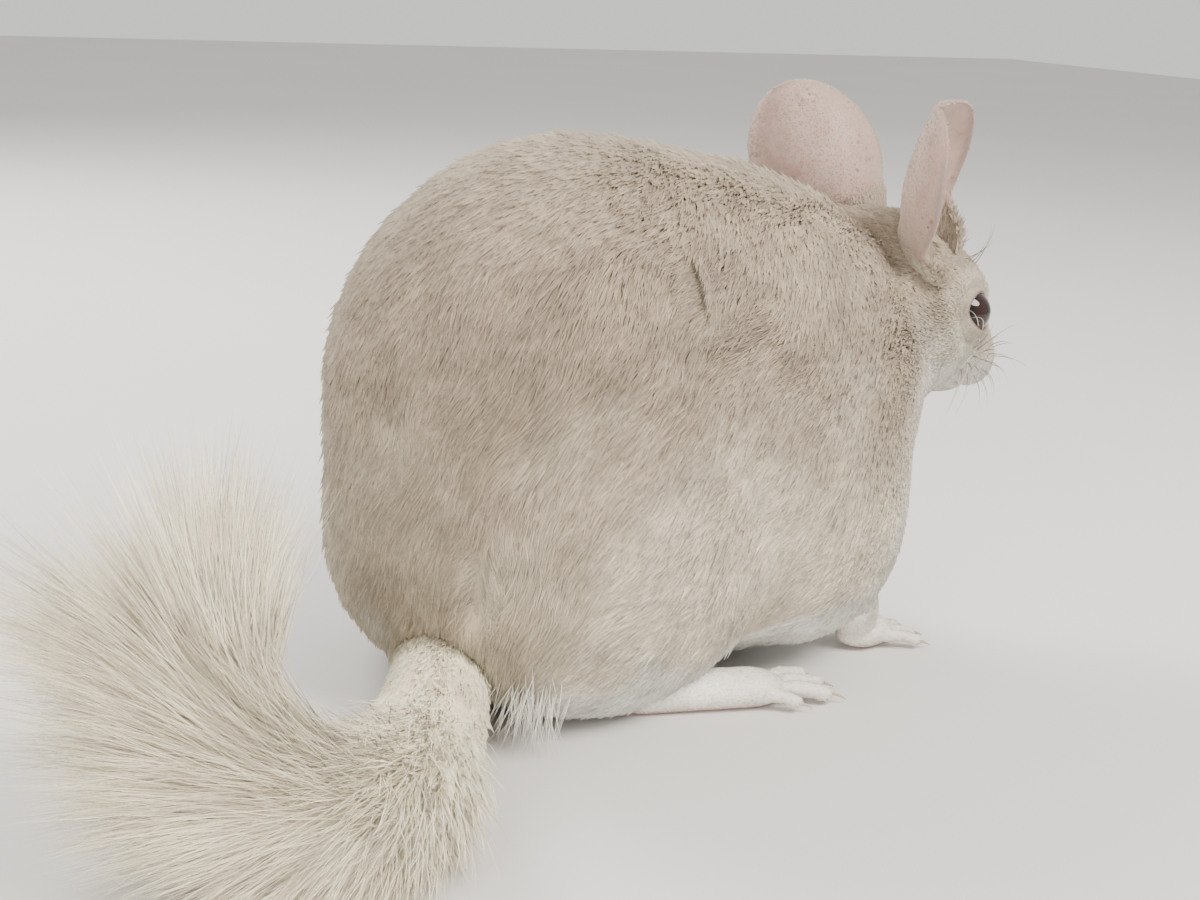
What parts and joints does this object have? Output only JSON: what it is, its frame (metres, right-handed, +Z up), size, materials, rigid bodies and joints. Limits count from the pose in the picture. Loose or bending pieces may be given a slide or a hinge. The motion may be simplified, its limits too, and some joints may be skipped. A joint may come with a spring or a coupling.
{
  "type": "chinchilla",
  "caption": "Life-size still model of a crouching chinchilla with a round body, large rounded ears and a bushy tail laid on the floor and curled up at its end.",
  "frame": {"origin": "on the floor, on the animal's midline, in the flat face under its belly", "axes": "+Z up, the nose points to -Y and the animal's left side is +X"},
  "size_m": [0.1876, 0.3276, 0.1624],
  "materials": {
    "coat": "dense soft fur, matt",
    "pale_coat": "longer coarse hair, matt",
    "skin": "thin bare skin, satin",
    "eye": "wet gloss"
  },
  "bodies": {
    "root": {"torso": "coat", "neck": "coat", "head": "coat", "ear_left": "skin", "eye_left": "eye", "hind_leg_left": "coat", "hind_foot_left": "pale_coat", "foreleg_left": "coat", "forepaw_left": "pale_coat", "ear_right": "skin", "eye_right": "eye", "hind_leg_right": "coat", "hind_foot_right": "pale_coat", "foreleg_right": "coat", "forepaw_right": "pale_coat", "tail_root": "pale_coat", "tail_middle": "pale_coat", "tail_brush": "pale_coat"}
  },
  "joints": []
}
